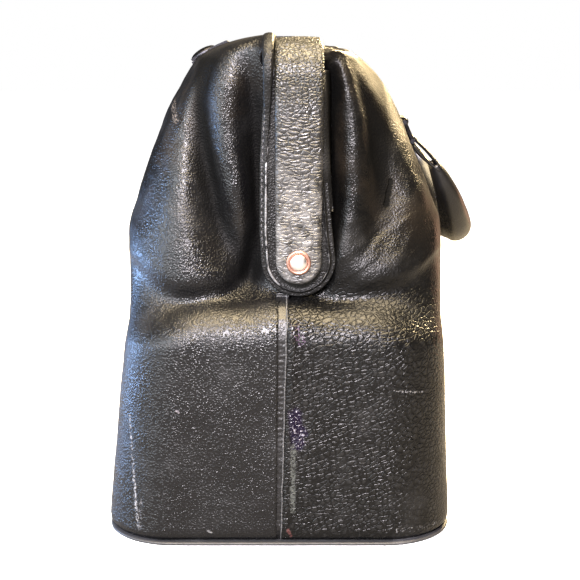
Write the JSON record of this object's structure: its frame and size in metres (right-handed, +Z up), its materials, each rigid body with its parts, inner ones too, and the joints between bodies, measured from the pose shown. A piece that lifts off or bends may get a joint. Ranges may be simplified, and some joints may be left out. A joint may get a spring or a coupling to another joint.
{
  "type": "doctor bag",
  "caption": "Leather doctor bag with a stiff lower box, a U-shaped frame mouth that opens about end rivets, a front lock with hasp and a rear carrying handle.",
  "frame": {"origin": "centre of the underside of the base, on the floor", "axes": "+X along the bag's length, -Y towards the front (lock side), +Y towards the rear (handle side), +Z up"},
  "size_m": [0.3832, 0.214, 0.267],
  "materials": {
    "base_panel": "smooth, worn",
    "base_welt": "glossy, scuffed",
    "base_board": "pressed fibreboard",
    "front_panel": "fine grain, semi-gloss, worn",
    "rear_panel": "pebbled grain, semi-gloss",
    "stiffener": "pressed fibreboard",
    "lining": "plain brown cloth",
    "seam_strip": "turned edge, stitched",
    "frame_steel": "plain flat bar",
    "frame_cover": "pebbled grain, glossy, stitched edges",
    "upper_leather": "soft, folded, semi-gloss",
    "rivet_head": "bright domed nickel",
    "copper": "bright copper",
    "dark_metal": "smooth black gunmetal",
    "handle_leather": "smooth rolled leather, glossy",
    "handle_cord": "twisted cord"
  },
  "bodies": {
    "bag_body": {"base_panel": "base_panel", "base_welt": "base_welt", "base_board": "base_board", "front_panel": "front_panel", "rear_panel": "rear_panel", "front_stiffener": "stiffener", "rear_stiffener": "stiffener", "lining": "lining", "inner_pocket": "lining", "seam_strip_right": "seam_strip", "seam_strip_left": "seam_strip"},
    "front_frame": {"front_frame_bar": "frame_steel", "front_frame_cover": "frame_cover", "front_edge_binding": "frame_cover", "front_upper_leather": "upper_leather", "hinge_rivet_right": "rivet_head", "hinge_rivet_left": "rivet_head", "hinge_washer_right": "copper", "hinge_washer_left": "copper", "hinge_burr_right": "copper", "hinge_burr_left": "copper", "lock_case": "dark_metal"},
    "rear_frame": {"rear_frame_bar": "frame_steel", "rear_frame_cover": "frame_cover", "rear_upper_leather": "upper_leather", "handle_chape_right": "handle_leather", "handle_chape_left": "handle_leather", "chape_rivet_right": "dark_metal", "chape_rivet_left": "dark_metal", "hasp_anchor": "dark_metal", "hasp_pin": "dark_metal"},
    "lock_slide": {"lock_bolt": "dark_metal"},
    "hasp": {"hasp_plate": "dark_metal"},
    "handle_rings": {"handle_ring_right": "dark_metal", "handle_ring_left": "dark_metal"},
    "handle": {"handle_end_right": "handle_leather", "handle_end_left": "handle_leather", "handle_grip": "handle_leather", "handle_core": "handle_cord"}
  },
  "joints": [
    {"name": "front_frame_hinge", "type": "hinge", "parent": "bag_body", "child": "front_frame", "pos_m": [0, 0.007, 0.151], "axis": [1, 0, 0], "range_deg": [0, 45], "deforming": ["front_upper_leather"]},
    {"name": "rear_frame_hinge", "type": "hinge", "parent": "bag_body", "child": "rear_frame", "pos_m": [0, 0.007, 0.151], "axis": [-1, 0, 0], "range_deg": [0, 45], "deforming": ["rear_upper_leather"]},
    {"name": "lock_travel", "type": "slide", "parent": "front_frame", "child": "lock_slide", "axis": [1, 0, 0], "range_m": [0, 0.005]},
    {"name": "hasp_hinge", "type": "hinge", "parent": "rear_frame", "child": "hasp", "pos_m": [0, -0.00793, 0.26291], "axis": [-1, 0, 0], "range_deg": [0, 110]},
    {"name": "ring_swing", "type": "hinge", "parent": "rear_frame", "child": "handle_rings", "pos_m": [0, 0.07, 0.216], "axis": [1, 0, 0], "range_deg": [0, 45]},
    {"name": "handle_swing", "type": "hinge", "parent": "handle_rings", "child": "handle", "pos_m": [0, 0.075, 0.205], "axis": [1, 0, 0], "range_deg": [0, 120]}
  ],
  "couplings": [
    {"joint": "ring_swing", "follows": "rear_frame_hinge", "ratio": 1}
  ]
}
